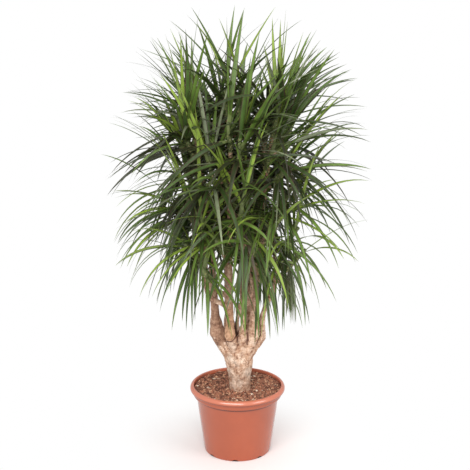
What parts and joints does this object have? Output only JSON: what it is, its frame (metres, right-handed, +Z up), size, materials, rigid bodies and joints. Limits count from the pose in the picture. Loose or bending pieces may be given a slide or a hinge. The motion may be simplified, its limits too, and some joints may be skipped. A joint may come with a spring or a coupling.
{
  "type": "potted branched dragon tree",
  "caption": "Branched dragon tree in a round tapered plastic pot: a swollen knuckled trunk, upright boughs and heads of long narrow arching leaves in a full oval crown",
  "frame": {"origin": "centre of the pot's flat underside, at the level it stands on", "axes": "+Z up along the trunk and the pot's axis, +X to the right and -Y towards the viewer in the pictured view"},
  "size_m": [0.8485, 0.8713, 1.4876],
  "materials": {
    "pot_plastic": "satin",
    "potting_soil": "matte",
    "bark": "matte",
    "leaf": "satin"
  },
  "bodies": {
    "root": {"pot": "pot_plastic", "potting_soil": "potting_soil", "trunk": "bark", "bough_top": "bark", "bough_upper_left": "bark", "bough_upper_front": "bark", "bough_upper_right": "bark", "bough_upper_back_right": "bark", "bough_upper_back": "bark", "bough_low_right": "bark", "bough_low_back": "bark", "bough_low_back_left": "bark", "bough_low_left": "bark", "bough_low_front": "bark", "leaves_top": "leaf", "leaves_upper_left": "leaf", "leaves_upper_front": "leaf", "leaves_upper_right": "leaf", "leaves_upper_back_right": "leaf", "leaves_upper_back": "leaf", "leaves_low_right": "leaf", "leaves_low_back": "leaf", "leaves_low_back_left": "leaf", "leaves_low_left": "leaf", "leaves_low_front": "leaf"}
  },
  "joints": []
}
